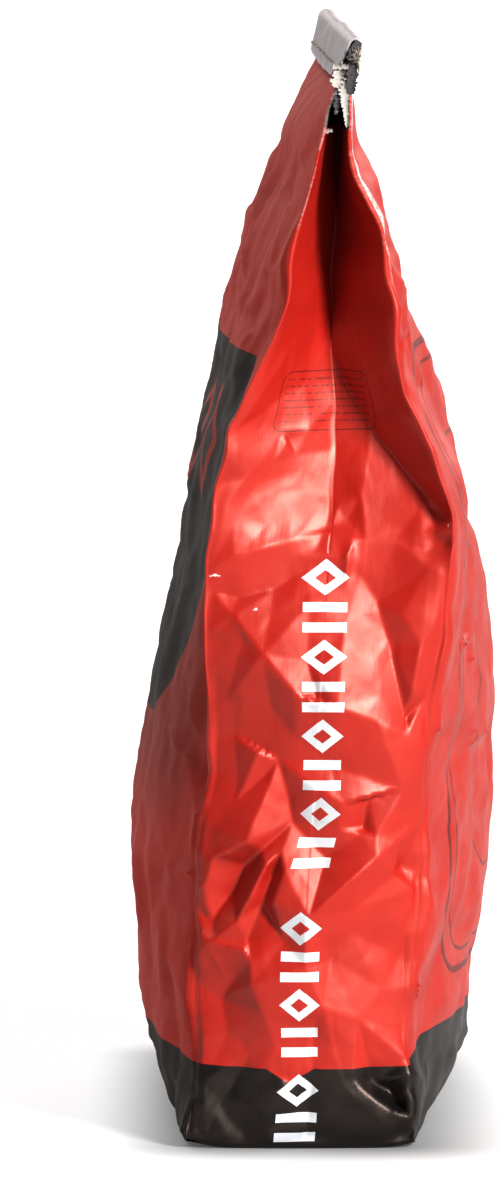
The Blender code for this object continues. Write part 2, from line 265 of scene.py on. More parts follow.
def sheetPlaces(columns, rows):  # every point of the smooth sheet before it is creased, rows by columns by 3
    shape = sackShape
    height, spineY, spineZ, tilt, along = (np.array(c)[:, None] for c in zip(*rows))
    at = {name: smoothBetween(shape[name], height)
          for name in ("cornerGap", "faceSwell", "nearTuck", "gussetOut", "nearBulge", "frontPull", "backPull",
                       "valleyShift", "twist")}
    gap, swell = at["cornerGap"], at["faceSwell"]
    # a swollen face draws its two edges in
    halfLength = shape["faceWidth"] / 2 - 4 / 3 * (swell - gap) ** 2 / shape["faceWidth"]
    mouth = gap - shape["cornerCap"]
    slant = 1 - np.clip((shape["tuckTop"] - height) / shape["tuckSlant"], 0, shape["slantLimit"])
    pinch = shape["valleyPinch"] * smoothStep(340, 400, height)
    x = np.zeros((len(rows), len(columns)))
    y = np.zeros_like(x)
    shares = []  # how far each column follows the near centre crease sideways
    for i, (panel, across, place) in enumerate(columns):
        column = slice(i, i + 1)
        side = 1 if place < shape["faceWidth"] * 2 else -1
        near = abs(across) / shape["gussetHalf"]
        shares.append(1 - near if side > 0 and panel in ("gusset", "valley") else 0)
        if panel in ("front", "back"):
            face = -1 if panel == "front" else 1
            t = across / (shape["faceWidth"] / 2)
            x[:, column] = halfLength * t
            y[:, column] = face * (gap + (swell - gap) * (1 - t * t)) - face * at[panel + "Pull"] * (1 - t ** 4)
            continue
        out = at["nearTuck" if side > 0 else "gussetOut"]
        bulge = at["nearBulge"] * (1 - near ** 2) * (side > 0)
        turn = (1 if across > 0 else -1) * side
        if panel == "corner":
            x[:, column] = side * (halfLength + 0.7)
            y[:, column] = turn * (gap - shape["cornerCap"] / 2)
        elif panel == "valley":
            x[:, column] = side * (halfLength + out - pinch + bulge)
        else:
            wall = 1 - near
            if side > 0 and across > 0:
                wall = np.minimum(1, wall / slant)
            if near == 0:  # the two columns beside the centre crease
                turn = side * (-1 if columns[i + 1][0] == "valley" else 1)
            inward = np.clip(-out / shape["tuckBlend"], 0, 1)
            reach = (1 - inward) * (1 - near ** 2) + inward * wall
            x[:, column] = side * (halfLength + out * reach + bulge)
            y[:, column] = turn * (shape["creaseHalf"] + (mouth - shape["creaseHalf"]) * near)
    front, back = (smoothBetween(shape[name], spineZ) for name in ("frontCornerShift", "backCornerShift"))
    sway = (front + (back - front) * smoothStep(-1, 1, y / gap)) * smoothStep(60, 190, x)
    sway = sway + np.array(shares) * at["valleyShift"]
    # the flap's rows draw back towards the fold near its two ends
    short = (1 - shape["flapNearEnd"]) * smoothStep(70, 190, x) + (1 - shape["flapFarEnd"]) * smoothStep(90, 190, -x)
    short = np.clip(along - (rows[-1][4] - shape["flap"]), 0, None) * short
    z = spineZ - short * np.cos(tilt) - y * np.sin(tilt)
    y = spineY - short * np.sin(tilt) + y * np.cos(tilt) + sway
    angle = np.radians(at["twist"])
    return np.stack((x * np.cos(angle) - y * np.sin(angle), x * np.sin(angle) + y * np.cos(angle), z), axis=2)


# The creases. Lifts are in mm, out of the paper.
creaseSettings = {
    "seed": 7,
    "depth": 2.9,           # how far the named folds of the near gusset stand out
    "cornerFade": 7,        # mm over which a crease dies at a corner of the tube
    # (spacing across, spacing along, lift) of each layer of chance facets
    "body": ((78, 86, 4.0), (36, 44, 3.2), (15, 16, 0.7), (7, 7, 0.1)),
    "streaks": ((19, 90, 5.0), (9, 40, 2.3), (5, 16, 0.25)),
    "mouth": ((30, 24, 0.9), (10, 10, 0.3)),
    "band": (17, 13, 1.5),
    "gussetLoose": ((30, 32, 2.6), (12, 13, 0.45), (6, 6.5, 0.08)),
    "farLoose": (46, 52, 3.6),
    "clearOfFolds": 13,     # mm from a named fold that has no chance facet corner
    # the heights between which the layers change over or end
    "streaksFrom": (430, 540),
    "mouthFrom": (596, 655),
    "gussetEnd": (600, 650),
    "bandEnd": (44, 60),
    # how the tube's corners wander: mm between turns, mm that the paper beside them follows, and mm in X and Y
    "kinkApart": 17,
    "kinkReach": 16,
    "kinkOut": (1.1, 1.3),
}

# The near gusset's folds in the photo, as (across from the middle, height, lift)
nearFolds = {
    "roofLeft": ((-73, 453, 0.2), (-54, 465, -1.3), (-41, 476, -2.3), (-23, 481, -2.0), (-4, 484, -1.2)),
    "grooveLeft": ((-38, 451, -0.9), (-48, 439, 0.1), (-59, 425, 0.7), (-69, 408, 0.9)),
    "grooveRim": ((-33, 448, -1.1), (-42, 434, -0.4), (-54, 415, 0.4), (-63, 398, 0.8)),
    "roofCentre": ((-3, 466, -1.1), (-2, 440, -1.1), (-2, 412, -0.9), (-2, 392, -0.4)),
    "roofFoot": ((-74, 366, 0.7), (-60, 374, 1.7), (-42, 379, 1.9), (-22, 384, 1.3), (-5, 388, 0.2)),
    "pinchUpper": ((-38, 451, -0.5), (-27, 437, -1.0)),
    "shelfUnder": ((-72, 353, -0.5), (-55, 349, -0.8), (-33, 355, -0.9), (-12, 368, -0.9)),
    "centreDent": ((3, 405, 0), (9, 396, -1.3), (3, 387, 0)),
    "kinkRight": ((74, 402, -1.2), (57, 387, 0.4), (40, 384, 0)),
    "kinkRightLow": ((75, 391, 0.8), (74, 383, -1.2), (60, 378, -0.2)),
    "darkValley": ((2, 384, 0), (21, 363, -1.4), (33, 346, -1.8), (45, 318, -2.0), (61, 272, -0.8)),
    "rightRidge": ((64, 368, 0.6), (62, 320, 1.6), (61, 290, 1.7), (60, 263, 1.4)),
    "bigRidge": ((-59, 338, 1.2), (-38, 313, 2.6), (-17, 290, 2.8), (12, 281, 3.0), (40, 272, 2.2), (60, 263, 1.4)),
    "rightVee": ((60, 263, 1.4), (72, 285, -0.4)),
    "bigHollow": ((-60, 262, -1.6), (-30, 248, -2.0), (8, 246, -1.4)),
    "midFold": ((-70, 203, 0.6), (-42, 207, 1.6), (-16, 209, -3.4), (19, 221, 1.2), (61, 229, 1.5)),
    "midFoldRight": ((75, 206, 0.6), (45, 200, 1.4), (20, 205, -0.6)),
    "pinchDown": ((-16, 209, -3.4), (-44, 196, 2.4), (-74, 184, 0.6)),
    "deepDent": ((-36, 191, -0.8), (-50, 180, -3.0), (-57, 164, -3.3), (-68, 144, -1.0)),
    "deepDentRim": ((-30, 182, 1.8), (-38, 164, 2.2), (-48, 146, 1.4)),
    "deepDentOuter": ((-66, 185, 1.6), (-71, 166, 1.4)),
    "thinCrease": ((-22, 190, 0), (-27, 178, -2.2), (-33, 158, -1.8), (-43, 134, -0.4)),
    "thinCreaseRim": ((-17, 178, 1.2), (-24, 158, 1.4)),
    "crossRidge": ((-75, 138, 0.8), (-66, 132, 1.7), (-43, 128, 1.6), (-39, 121, 1.2), (-38, 106, 1.8)),
    "facetEdge": ((-38, 106, 1.8), (-30, 86, 1.0), (-22, 66, 0.2)),
    "lowHollow": ((-62, 96, -1.4), (-58, 74, -0.8)),
    "risingRidge": ((2, 150, 2.6), (24, 170, 3.2), (45, 187, 2.8), (60, 195, 1.2), (75, 201, 0)),
    "risingHollow": ((12, 186, -2.2), (38, 204, -1.6)),
    "lowRight": ((75, 164, 0.6), (69, 122, -1.6), (58, 102, -0.6), (40, 84, 0.4)),
    "lowMiddle": ((0, 118, 1.6), (14, 92, 1.0), (22, 64, 0.2)),
    "smallPinch": ((67, 178, -1.6), (60, 174, 0.5)),
    "bandDentTop": ((36, 45, 0.6), (48, 34, 1.6), (60, 25, 2.0), (72, 20, 1.6)),
    "bandDentFloor": ((52, 42, -1.8), (63, 36, -3.4), (68, 28, -3.6)),
    "bandDentRim": ((70, 36, 1.0), (73, 47, 1.8), (75, 57, 0.6)),
    "bandLeft": ((-72, 44, 0.6), (-58, 30, -1.2), (-64, 8, 0.4)),
    "bandMiddle": ((-36, 46, 0.2), (-26, 26, 1.2), (-38, 8, -0.6)),
    "bandFlat": ((6, 44, -0.8), (18, 26, 0.9), (4, 8, -0.6), (34, 12, 0.8)),
}


def facetLayer(width, top, layer, draw, keepOff=()):
    points = []
    across, along, lift = layer
    for row in range(-1, math.ceil(top / along) + 2):
        for column in range(-1, math.ceil(width / across) + 2):
            x = (column + draw.uniform(-0.42, 0.42) + 0.5 * (row % 2)) * across - width / 2
            y = (row + draw.uniform(-0.42, 0.42)) * along
            if all(math.hypot(x - a, y - b) > creaseSettings["clearOfFolds"] for a, b in keepOff):
                points.append((x, y, draw.choice((-1, 1)) * draw.uniform(0.35, 1) * lift))
    return points


def liftedSurface(points, lines=()):  # a triangulated height field that can be asked for its height
    points = list(points)
    edges = []
    for line in lines:
        start = len(points)
        points.extend(line)
        edges.extend((start + i, start + i + 1) for i in range(len(line) - 1))
    flat = [Vector((p[0], p[1])) for p in points]
    verts, _, faces, sources, _, _ = delaunay_2d_cdt(flat, edges, [], 0, 1e-4)
    lifts = [np.mean([points[k][2] for k in source]) if source else 0.0 for source in sources]
    corners = [Vector((v[0], v[1], lifts[i])) for i, v in enumerate(verts)]
    return BVHTree.FromPolygons(corners, faces)


def liftsAt(surface, across, along):
    down = Vector((0, 0, -1))
    result = np.zeros((len(along), len(across)))
    for j, y in enumerate(along):
        for i, x in enumerate(across):
            hit = surface.ray_cast(Vector((x, y, 60)), down)[0]
            if hit is not None:
                result[j, i] = hit[2]
    return result


def softened(field, times):
    for _ in range(times):
        padded = np.pad(field, 1, mode="edge")
        field = (padded[:-2, 1:-1] + padded[2:, 1:-1] + padded[1:-1, :-2] + padded[1:-1, 2:] + 2 * field) / 6
    return field


def creaseLifts(columns, rows):  # the lift of each point out of the smooth sheet
    settings = creaseSettings
    width = sackShape["faceWidth"]
    along = np.array([r[4] for r in rows])
    top = along[-1]
    lifts = np.zeros((len(rows), len(columns)))
    groups = {}
    for i, (panel, _, place) in enumerate(columns):
        gusset = "near" if place < 2 * width else "far"
        groups.setdefault(panel if panel in ("front", "back") else gusset, []).append(i)
    upper = smoothStep(*settings["streaksFrom"], along)[:, None]
    mouth = smoothStep(*settings["mouthFrom"], along)[:, None]
    gap = smoothBetween(sackShape["cornerGap"], np.array([r[0] for r in rows]))[:, None]
    for order, (name, indices) in enumerate(groups.items()):
        draw = random.Random(settings["seed"] + 10 * order)
        across = np.array([columns[i][1] for i in indices])
        edge = abs(across[0])

        def facets(layers):
            return sum(liftsAt(liftedSurface(facetLayer(2 * edge, top, layer, draw)), across, along)
                       for layer in layers)

        if name in ("front", "back"):
            body, streaks, crimp = (facets(settings[kind]) for kind in ("body", "streaks", "mouth"))
            mixed = body * (1 - 0.75 * upper) + streaks * (0.22 + 0.78 * upper)
            field = mixed * (1 - mouth) + crimp * mouth
        else:
            folds = nearFolds.values() if name == "near" else ()
            lines = [[(x, y, z * settings["depth"]) for x, y, z in fold] for fold in folds]
            keepOff = [(x, y) for fold in folds for x, y, _ in fold]
            coarse, *fine = settings["gussetLoose"]
            loose = facetLayer(2 * edge, top, coarse, draw, keepOff)
            if name == "far":  # the gusset that isn't seen has wider facets
                loose = facetLayer(2 * edge, top, settings["farLoose"], draw)
            field = liftsAt(liftedSurface(loose, lines), across, along) + facets(fine)
            field *= np.clip(gap / edge, 0, 1) ** 1.2 * (1 - smoothStep(*settings["gussetEnd"], along)[:, None])
        fade = settings["cornerFade"] * (0.25 + 0.75 * smoothStep(200, 330, along))[:, None]
        field *= smoothStep(-0.5, 1, (edge - np.abs(across))[None, :] / fade)
        field *= smoothStep(0, 9, along)[:, None]
        # the base band is crushed more finely
        foot = along < 66
        crush = facetLayer(2 * edge, 70, settings["band"], random.Random(settings["seed"] + len(name)))
        crush = liftsAt(liftedSurface(crush), across, along[foot])
        field[foot] += crush * ((1 - smoothStep(*settings["bandEnd"], along)) * smoothStep(2, 12, along))[foot, None]
        lifts[:, indices] = field
    return lifts


def cornerKinks(places, columns, rows):  # the tube's four corners wander a little, with the paper near them
    settings = creaseSettings
    draw = random.Random(settings["seed"] + 50)
    along = np.array([r[4] for r in rows])
    knots = np.arange(0, along[-1] + 40, settings["kinkApart"])
    strength = (1 - 0.6 * smoothStep(560, 650, along)) * smoothStep(0, 12, along)
    for apart in cornerDistances(columns):
        for axis, size in enumerate(settings["kinkOut"]):
            wander = np.interp(along, knots, [draw.uniform(-size, size) for _ in knots]) * strength
            places[..., axis] += wander[:, None] * np.exp(-apart / settings["kinkReach"])
    return places


def surfaceNormals(places):
    along = np.gradient(places, axis=0)
    wrapped = np.concatenate((places[:, -1:], places, places[:, :1]), axis=1)
    normals = np.cross(wrapped[:, 2:] - wrapped[:, :-2], along)
    return normals / np.maximum(np.linalg.norm(normals, axis=2, keepdims=True), 1e-9)


def softFoot(places, rows, radius=2.5, lift=4.5):  # the pasted base rounds under, and its corners ride up
    height = np.array([r[0] for r in rows])[:, None]
    low = np.clip(1 - height / radius, 0, 1)
    inward = radius * (1 - np.sqrt(1 - low ** 2))
    half = np.array((sackShape["faceWidth"] / 2, sackShape["gussetHalf"]))
    size = np.maximum(np.abs(places[..., :2]) / half, 1e-6)
    places[..., :2] -= np.sign(places[..., :2]) * (size == size.max(axis=2, keepdims=True)) * inward[..., None]
    corner = np.linalg.norm(np.abs(places[..., :2]) - half, axis=2)
    places[..., 2] += lift * np.exp(-(corner / 14) ** 2) * np.clip(1 - height / 32, 0, 1) ** 1.5
    return places


def clearOfLumps(places, normals, clearance=1.2, margin=14):  # the paper is pushed out where a lump presses on it
    flat, out = places.reshape(-1, 3), normals.reshape(-1, 3)
    push = np.zeros(len(flat))
    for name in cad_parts:
        if not name.startswith("charcoal_lump"):
            continue
        low, high = (np.array(corner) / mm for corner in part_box(name))
        near = np.where(np.all((flat > low - margin) & (flat < high + margin), axis=1))[0]
        if not len(near):
            continue
        polygons = bpy.data.objects[name].data.polygons
        centres, facing = np.zeros((2, 3 * len(polygons)))
        polygons.foreach_get("center", centres)
        polygons.foreach_get("normal", facing)
        centres, facing = centres.reshape(-1, 3) / mm, facing.reshape(-1, 3)
        offset = np.sum(centres * facing, axis=1)
        for _ in range(4):
            depth = (flat[near] + out[near] * push[near, None]) @ facing.T - offset
            plane = np.argmax(depth, axis=1)
            short = clearance - depth[np.arange(len(near)), plane]
            slope = np.maximum(np.sum(out[near] * facing[plane], axis=1), 0.3)
            push[near] += np.clip(short / slope, 0, 6)
    least = push = push.reshape(places.shape[:2])
    for _ in range(14):  # the paper around it follows
        push = np.maximum(least, softened(push, 2))
    return places + normals * push[..., None]


def roundCorners(places, columns, rows):  # the full part of the tube rounds off the folded corners
    height = np.array([r[0] for r in rows])
    weight = (smoothStep(6, 40, height) * (1 - smoothStep(215, 330, height)))[:, None, None]
    weight = weight * (1 - smoothStep(34, 58, np.min(cornerDistances(columns), axis=0)))[None, :, None]
    soft = places
    for _ in range(26):
        soft = (np.roll(soft, 1, axis=1) + np.roll(soft, -1, axis=1) + 2 * soft) / 4
    return places + (soft - places) * weight


# Where the ink is cracked or rubbed off, as shares of 1
sackWear = {
    "creaseMost": 0.3,
    "corner": (0.20, 0.54),     # low down and at the mouth
    "cornerHalf": 1.5,          # mm
    "backScuff": 0.82,          # on the back face beside the near corner
    "scuffReach": 26,           # mm
    "foldRidge": 0.30,
    "foldRidgeNear": 0.25,      # more of it by the near gusset
}


def wornShares(places, lifts, columns, rows):
    wear = sackWear
    along, tilt = (np.array([r[k] for r in rows])[:, None] for k in (4, 3))
    bend = np.zeros_like(lifts)
    bend[1:-1] = lifts[2:] + lifts[:-2] - 2 * lifts[1:-1]
    bend[:, 1:-1] += lifts[:, 2:] + lifts[:, :-2] - 2 * lifts[:, 1:-1]
    worn = np.clip(-bend * 0.3 - 0.25, 0, wear["creaseMost"])
    low, high = wear["corner"]
    atCorner = low + (high - low) * smoothStep(440, 640, along)
    for apart in cornerDistances(columns):
        worn = np.maximum(worn, np.exp(-(apart / wear["cornerHalf"]) ** 2) * atCorner)
    beyond = np.array([c[2] for c in columns]) - (sackShape["faceWidth"] + 2 * sackShape["gussetHalf"])
    scuffed = np.exp(-(np.clip(beyond, 0, None) / wear["scuffReach"]) ** 2) * (beyond > 0)
    atMouth = smoothStep(470, 600, along) * (1 - smoothStep(690, 700, along))
    worn = np.maximum(worn, wear["backScuff"] * atMouth * scuffed)
    ridge = (tilt < math.radians(8)) & (tilt > math.radians(-60)) & (along > sackShape["flat"] + 8)
    return np.maximum(worn, ridge * (wear["foldRidge"] + wear["foldRidgeNear"] * smoothStep(-60, 150, places[..., 0])))


def makeSackSheet(material):
    columns, rows = sheetColumns(), sheetRows()
    places = roundCorners(sheetPlaces(columns, rows), columns, rows)
    places = cornerKinks(places, columns, rows)
    lifts = creaseLifts(columns, rows)
    normals = surfaceNormals(places)
    places = clearOfLumps(places + normals * lifts[..., None], normals)
    places = softFoot(places, rows)
    places[..., 2] = np.maximum(places[..., 2], 0)
    worn = wornShares(places, lifts, columns, rows)
    # two more rows turn the flap's cut edge in, to give it a thickness
    edges = [places[row] - normals[row] * depth for row, depth in ((-1, 0.5), (-3, 0.7))]
    vertices = np.concatenate((places.reshape(-1, 3), *edges)) * mm
    count = len(columns)
    faces = []
    for j in range(len(rows) + 1):
        for i in range(count):
            k = (i + 1) % count
            faces.append((j * count + i, j * count + k, (j + 1) * count + k, (j + 1) * count + i))
    sideFaces = len(faces)
    faces.append(tuple(reversed(range(count))))
    sheet = newPiece("sackSheet", vertices, faces, material)
    mesh = sheet.data
    # Where each point lies on the flat paper, in metres
    corners = np.zeros(len(mesh.loops), int)
    mesh.loops.foreach_get("vertex_index", corners)
    column, row = corners % count, corners // count
    across = np.array([c[2] for c in columns])[column]
    face = np.arange(len(corners)) // 4
    across[(face % count == count - 1) & (face < sideFaces) & (column == 0)] = (
        2 * sackShape["faceWidth"] + 4 * sackShape["gussetHalf"])
    along = np.array([r[4] for r in rows] + [rows[-1][4], rows[-3][4]])[row]
    mesh.uv_layers.new(name="flatPaper").data.foreach_set("uv", (np.stack((across, along), axis=1) * mm).reshape(-1))
    # Places across the gusset, front and back that it belongs to, with 1 m for the other two
    panel = np.ones((len(vertices), 3))
    for i, (name, across, _) in enumerate(columns):
        panel[i::count, {"front": 1, "back": 2}.get(name, 0)] = across * mm
    mesh.attributes.new("panel", "FLOAT_VECTOR", "POINT").data.foreach_set("vector", panel.reshape(-1))
    worn = np.concatenate((worn, worn[-1:], worn[-1:])).reshape(-1)
    mesh.attributes.new("worn", "FLOAT", "POINT").data.foreach_set("value", worn)
    mesh.validate()
    print("stage: sheet", count, "columns", len(rows), "rows", len(mesh.polygons), "faces")
    return sheet


# Flexo-printed kraft with a satin varnish: flat ink, a soft broad gloss, white paper where a fold has cracked it, and a
# painted shade over the front face's middle
sackPrint = {
    "red": "#B02B1F",
    "redShade": "#97231A",
    "black": "#0B0D0F",
    "headGrey": "#A09A9C",
    "white": "#C3C6C9",
    "rawPaper": "#D6D2CE",
    # painted shade: a dark red laid over the middle of the front face, round the shield
    "paintedShade": "#3C0704",
    # the places below are in mm
    "greyFrom": 688,
    "baseBand": 52,
    "baseNotch": (-10.5, 9, 0.5),               # across, depth, slope
    "cornerRise": 11,
    "baseRise": 9,
    "headBand": {"gusset": 643, "front": 685, "back": 665},
    "shield": (425, 168, 500),                  # height of its round foot's middle, radius, top
    "lozenges": (80, 34, 440, 40, 120),         # apart, half width, height, half height, reach from the middle
    # rounded boxes, as (across, height, half width, half height, corner)
    "tuckFrame": (-3, 470.5, 41, 18.5, 6),
    "backFrame": (0, 300, 150, 200, 50),
    # the box that the painted shade covers on the front face; it fades out beyond it
    "paintedShadeBox": (0, 335, 160, 85, 40),
    "backLines": ((0, 2.2), (12, 1.1), (60, 1.1)),      # inset, half width
    "tuckLine": 0.36,
    "rules": (455.5, 4.4),                      # first height, pitch
    "markGroups": ((2, 24.0, 2), (57, 24.4, 4), (177, 24.6, 8)),    # start, pitch and count up the gusset
    "markLozenge": (15, 10.8),                  # half sizes
    "markBars": (14, 6.3, 3.1),                 # half width, place, half height
    "nicks": ((-44, 342, 1.7, 1.2), (-71, 363, 4.2, 1.0), (74, 394, 0.8, 1.5)),     # across, height, half sizes
    "roughness": 0.46,
    "frontDull": 0.32,
    "fibreSize": 0.9,
    "crinkleSize": 11,
}


def printedKraft():
    look = sackPrint
    material, shader, add = newMaterial("flexoPrintedKraft", Roughness=look["roughness"], IOR=1.45,
                                        Specular_IOR_Level=1.0, Specular_Tint=toLinear("#FFE6D8"))
    place = add("UVMap", uv_map="flatPaper")
    height = add("SeparateXYZ", place, out=1)
    panel = add("Attribute", attribute_name="panel", out=1)
    gusset, front, back = (add("SeparateXYZ", panel, out=i) for i in range(3))
    gussetApart, frontApart, backApart = (add("Math.ABSOLUTE", across) for across in (gusset, front, back))
    worn = add("Attribute", attribute_name="worn", out=2)

    def roundedBox(across, centre, middle, wide, tall, corner):  # signed distance from a rounded box on one panel
        sides = [add("Math.ABSOLUTE", add("Math.SUBTRACT", value, spot * mm))
                 for value, spot in ((across, centre), (height, middle))]
        sides = [add("Math.SUBTRACT", side, (half - corner) * mm) for side, half in zip(sides, (wide, tall))]
        outside = add("CombineXYZ", *(add("Math.MAXIMUM", side, 0.0) for side in sides))
        inside = add("Math.MINIMUM", add("Math.MAXIMUM", *sides), 0.0)
        return add("Math.SUBTRACT", add("Math.ADD", add("VectorMath.LENGTH", outside, out=1), inside), corner * mm)

    # The black band at the foot, with its notch at the gusset's middle crease
    across, depth, slope = look["baseNotch"]
    notch = add("Math.ABSOLUTE", add("Math.SUBTRACT", gusset, across * mm))
    notch = add("Math.MAXIMUM", add("Math.MULTIPLY_ADD", notch, -slope, depth * mm), 0.0)
    nearMiddle = add("Math.POWER", add("Math.DIVIDE", add("Math.MINIMUM", frontApart, backApart), 0.197), 2.0)
    nearMiddle = add("Math.MAXIMUM", add("Math.SUBTRACT", 1.0, nearMiddle), 0.0)
    nearCorner = add("Math.MINIMUM", add("Math.POWER", add("Math.DIVIDE", gussetApart, 0.076), 3.0), 1.0)
    # by the back it stays low on the gusset and climbs beyond the corner
    beyond = add("MapRange", backApart, 0.160, 0.1965, 1.0, 0.15)
    climb = add("Math.MULTIPLY", beyond, add("MapRange", gusset, -0.01, 0.01, 1.0, 0.15))
    climb = add("Math.MAXIMUM", climb, add("Math.MULTIPLY", add("Math.GREATER_THAN", gussetApart, 0.5), beyond))
    bandTop = add("Math.MULTIPLY_ADD", add("Math.MULTIPLY", nearCorner, climb), look["cornerRise"] * mm,
                  look["baseBand"] * mm)
    bandTop = add("Math.MULTIPLY_ADD", nearMiddle, look["baseRise"] * mm, bandTop)
    black = add("Math.LESS_THAN", height, add("Math.SUBTRACT", bandTop, notch))
    # The dark head starts at its own height on each panel
    onGusset = add("Math.LESS_THAN", gussetApart, 0.0765)
    onFront = add("Math.LESS_THAN", frontApart, 0.1975)
    heads = {name: height * mm for name, height in look["headBand"].items()}
    headEdge = add("Math.MULTIPLY_ADD", onGusset, heads["gusset"] - heads["back"], heads["back"])
    headEdge = add("Math.MULTIPLY_ADD", onFront, heads["front"] - heads["back"], headEdge)
    black = add("Math.MAXIMUM", black, add("Math.GREATER_THAN", height, headEdge))
    # A plain dark shield with a round foot on the front face, with open lozenges left red on it
    foot, radius, top = (v * mm for v in look["shield"])
    shield = add("CombineXYZ", frontApart, add("Math.MAXIMUM", add("Math.SUBTRACT", foot, height), 0.0))
    shield = add("Math.LESS_THAN", add("VectorMath.LENGTH", shield, out=1), radius)
    shield = add("Math.MULTIPLY", shield, add("Math.LESS_THAN", height, top))
    pitch, wide, middle, tall, reach = (v * mm for v in look["lozenges"])
    spot = add("Math.FRACT", add("Math.MULTIPLY_ADD", front, 1 / pitch, 0.5))
    spot = add("Math.MULTIPLY", add("Math.ABSOLUTE", add("Math.SUBTRACT", spot, 0.5)), pitch / wide)
    rise = add("Math.ABSOLUTE", add("Math.SUBTRACT", height, middle))
    spot = add("Math.COMPARE", add("Math.MULTIPLY_ADD", rise, 1 / tall, spot), 0.81, 0.19)
    spot = add("Math.MULTIPLY", spot, add("Math.LESS_THAN", frontApart, reach))
    shield = add("Math.MULTIPLY", shield, add("Math.SUBTRACT", 1.0, spot))
    black = add("Math.MAXIMUM", black, shield)

    # A thin frame with plain broken rules in the tuck
    frameBox = roundedBox(gusset, *look["tuckFrame"])
    first, pitch = (v * mm for v in look["rules"])
    ruleStep = add("Math.DIVIDE", add("Math.SUBTRACT", height, first), pitch)
    breaks = add("CombineXYZ", add("Math.MULTIPLY", gusset, 330.0),
                 add("Math.MULTIPLY", add("Math.FLOOR", ruleStep), 7.3))
    breaks = add("TexNoise", {"Vector": breaks, "Scale": 1.0, "Detail": 0.0})
    rules = add("Math.COMPARE", add("Math.FRACT", ruleStep), 0.5, 0.13)
    rules = add("Math.MULTIPLY", rules, add("Math.GREATER_THAN", breaks, 0.40))
    rules = add("Math.MULTIPLY", rules, add("Math.LESS_THAN", frameBox, -0.004))
    lines = add("Math.COMPARE", frameBox, 0.0, look["tuckLine"] * mm)
    lines = add("Math.MAXIMUM", lines, add("Math.MULTIPLY", rules, 0.7))
    # Thin outlines on the back face
    across, middle, wide, tall, corner = look["backFrame"]
    for inset, half in look["backLines"]:
        box = roundedBox(back, across, middle, wide - inset, tall - inset, corner)
        lines = add("Math.MAXIMUM", lines, add("Math.COMPARE", box, 0.0, half * mm))

    # Generic white marks up the gusset: open lozenges and pairs of bars by turns, in a column that wanders a little
    drift = add("MapRange", height, 0.155, 0.205, -0.0038, 0.005, interpolation_type="SMOOTHSTEP")
    drift = add("Math.ADD", drift, add("MapRange", height, 0.21, 0.36, 0.0, -0.006))
    markApart = add("Math.ABSOLUTE", add("Math.SUBTRACT", gusset, drift))
    wide, tall = (v * mm for v in look["markLozenge"])
    barWide, barPlace, barHalf = (v * mm for v in look["markBars"])
    marks = 0.0
    for start, pitch, count in look["markGroups"]:
        step = add("Math.DIVIDE", add("Math.SUBTRACT", height, start * mm), pitch * mm)
        local = add("Math.ABSOLUTE", add("Math.SUBTRACT", add("Math.FRACT", step), 0.5))
        local = add("Math.MULTIPLY", local, pitch * mm)
        lozenge = add("Math.MULTIPLY_ADD", markApart, 1 / wide, add("Math.DIVIDE", local, tall))
        lozenge = add("Math.COMPARE", lozenge, 0.71, 0.29)
        bars = add("Math.COMPARE", local, barPlace, barHalf)
        bars = add("Math.MULTIPLY", bars, add("Math.LESS_THAN", markApart, barWide))
        odd = add("Math.LESS_THAN", add("Math.FRACT", add("Math.MULTIPLY", step, 0.5)), 0.5)
        mark = add("Mix", {0: odd, 2: lozenge, 3: bars})
        mark = add("Math.MULTIPLY", mark, add("Math.COMPARE", step, count / 2, count / 2))
        marks = add("Math.MAXIMUM", marks, mark)

    # Cracked folds show raw paper in broken flecks
    flecks = add("TexNoise", {"Vector": place, "Scale": 420.0, "Detail": 3.0, "Roughness": 0.7})
    patches = add("TexNoise", {"Vector": place, "Scale": 38.0, "Detail": 2.0, "Roughness": 0.5})
    crack = add("Math.MULTIPLY_ADD", flecks, 0.55, add("Math.MULTIPLY", patches, 0.75))
    bare = add("MapRange", add("Math.MULTIPLY_ADD", worn, 0.85, crack), 1.20, 1.32, 0.0, 1.0)
    rubbed = add("Math.MULTIPLY", worn, add("Math.ADD", patches, flecks))
    bareShare = add("Math.MAXIMUM", bare, add("MapRange", rubbed, 0.46, 0.80, 0.0, 0.60))
    for across, middle, wide, tall in look["nicks"]:  # torn spots of the outer ply
        apart = add("CombineXYZ", *(add("Math.DIVIDE", add("Math.SUBTRACT", value, spot * mm), half * mm)
                                    for value, spot, half in ((gusset, across, wide), (height, middle, tall))))
        apart = add("VectorMath.LENGTH", apart, out=1)
        apart = add("Math.MULTIPLY_ADD", add("Math.SUBTRACT", flecks, 0.42), 4.5, apart)
        bareShare = add("Math.MAXIMUM", bareShare, add("MapRange", apart, 0.5, 1.3, 0.85, 0.0))

    # The colours, each over the one before: a red with the slight mottle of a flexo plate first, then a painted shade
    # over the front face's middle, then the black, the grey past the fold, the fine lines, the white marks and the bare
    # paper
    mottle = add("TexNoise", {"Vector": place, "Scale": 28.0, "Detail": 4.0, "Roughness": 0.6})
    # painted shade over the front face's middle: 0.45 inside the box, fading to none 75 mm outside it
    fade = roundedBox(front, *look["paintedShadeBox"])
    fade = add("MapRange", fade, 0.0, 0.075, 0.45, 0.0, interpolation_type="SMOOTHSTEP")
    grey = add("Math.GREATER_THAN", height, look["greyFrom"] * mm)
    ink = toLinear(look["redShade"])
    for share, name in (
            (mottle, "red"), (add("Math.MULTIPLY", fade, onFront), "paintedShade"), (black, "black"),
            (add("Math.MULTIPLY", black, grey), "headGrey"), (add("Math.MULTIPLY", lines, 0.62), "black"),
            (marks, "white"), (bareShare, "rawPaper")):
        ink = add("Mix", {0: share, 6: ink, 7: toLinear(look[name])}, out=2, data_type="RGBA")

    gloss = add("MapRange", patches, 0.3, 0.7, look["roughness"] - 0.05, look["roughness"] + 0.07)
    gloss = add("Math.MULTIPLY_ADD", bare, 0.35, gloss)
    gloss = add("Math.MULTIPLY_ADD", onFront, look["frontDull"], gloss)  # the heavy ink of the front dries duller

